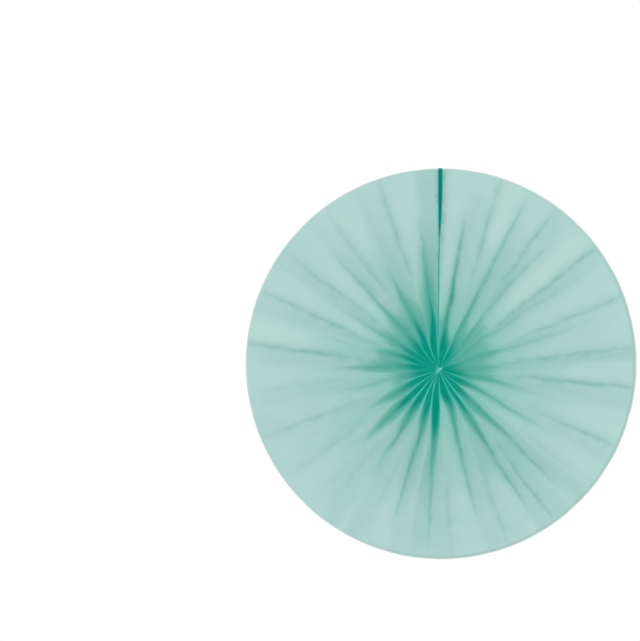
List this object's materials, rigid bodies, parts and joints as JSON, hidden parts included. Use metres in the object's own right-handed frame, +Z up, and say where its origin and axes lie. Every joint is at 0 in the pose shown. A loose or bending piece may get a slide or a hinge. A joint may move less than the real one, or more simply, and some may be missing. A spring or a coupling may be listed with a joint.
{
  "type": "paper fan rosette",
  "caption": "Round hanging decoration of accordion-pleated mint paper, gathered at a hub and closed along one seam with two stiff end cards.",
  "frame": {"origin": "centre of the part's box, on the axis of the rim's circle", "axes": "+Z up along the seam, which is at twelve o'clock as the fan hangs; +X to the right as the front shows it; the front faces -Y"},
  "size_m": [0.3, 0.0297, 0.3],
  "materials": {
    "mint_paper": "matte, thin and slightly translucent",
    "teal_card": "matte",
    "adhesive": "satin",
    "thread": "matte"
  },
  "bodies": {
    "root": {"pleated_sheet": "mint_paper", "end_card_left": "teal_card", "end_card_right": "teal_card", "adhesive_strip": "adhesive", "binding_thread": "thread"}
  },
  "joints": []
}
